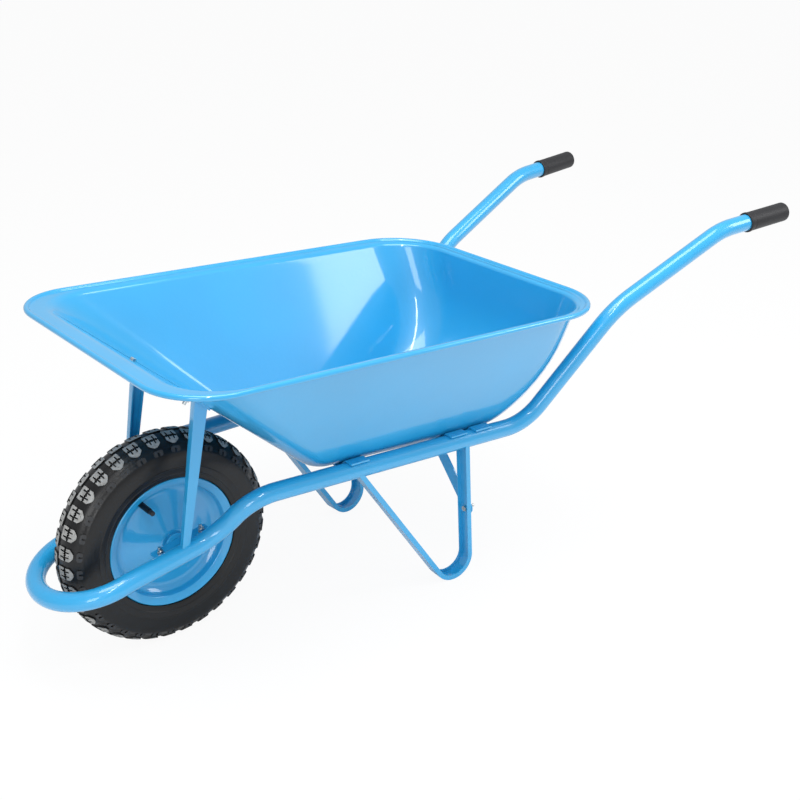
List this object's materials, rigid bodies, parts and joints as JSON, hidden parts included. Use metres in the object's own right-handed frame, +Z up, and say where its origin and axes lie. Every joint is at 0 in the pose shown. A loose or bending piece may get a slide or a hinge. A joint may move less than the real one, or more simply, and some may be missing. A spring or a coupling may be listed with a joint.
{
  "type": "builder's wheelbarrow",
  "caption": "Builder's wheelbarrow: deep pressed steel tray on a bent tube frame with strap legs, front struts and a pneumatic wheel held in the frame's nose loop.",
  "frame": {"origin": "on the ground under the middle of the overall length", "axes": "+X forward to the wheel, +Y to the barrow's left, +Z up"},
  "size_m": [1.4774, 0.6186, 0.6264],
  "materials": {
    "blue_paint": "gloss",
    "zinc_steel": "zinc plated",
    "bearing_steel": "ground",
    "tyre_rubber": "moulded",
    "tube_rubber": "satin",
    "cap_plastic": "matt",
    "grip_rubber": "satin"
  },
  "bodies": {
    "frame": {"frame_tube": "blue_paint", "tray": "blue_paint", "front_strut_left": "blue_paint", "front_strut_right": "blue_paint", "leg_left": "blue_paint", "leg_right": "blue_paint", "leg_brace_left": "blue_paint", "leg_brace_right": "blue_paint", "cross_bar_front": "blue_paint", "cross_bar_middle": "blue_paint", "cross_bar_rear": "blue_paint", "axle_bracket_left": "blue_paint", "axle_bracket_right": "blue_paint", "axle_clamp_left": "blue_paint", "axle_clamp_right": "blue_paint", "axle_spacer_left": "blue_paint", "axle_spacer_right": "blue_paint", "axle": "zinc_steel", "tray_bolts": "zinc_steel", "tray_nuts": "zinc_steel", "tray_washers": "zinc_steel", "strut_bolts": "zinc_steel", "strut_nuts": "zinc_steel", "strut_washers": "zinc_steel", "brace_bolts": "zinc_steel", "brace_nuts": "zinc_steel", "brace_washers": "zinc_steel", "clamp_bolts": "zinc_steel", "clamp_nuts": "zinc_steel", "clamp_washers": "zinc_steel", "bearing_inner_ring_left": "bearing_steel", "bearing_inner_ring_right": "bearing_steel", "grip_left": "grip_rubber", "grip_right": "grip_rubber"},
    "wheel": {"hub_tube": "blue_paint", "bearing_outer_ring_left": "bearing_steel", "bearing_outer_ring_right": "bearing_steel", "bearing_balls_left": "bearing_steel", "bearing_balls_right": "bearing_steel", "wheel_disc_left": "blue_paint", "wheel_disc_right": "blue_paint", "tyre": "tyre_rubber", "inner_tube": "tube_rubber", "valve_stem": "tube_rubber", "valve_cap": "cap_plastic"}
  },
  "joints": [
    {"name": "wheel_spin", "type": "hinge", "parent": "frame", "child": "wheel", "pos_m": [0.49959, 0, 0.19], "axis": [0, 1, 0], "continuous": true}
  ]
}
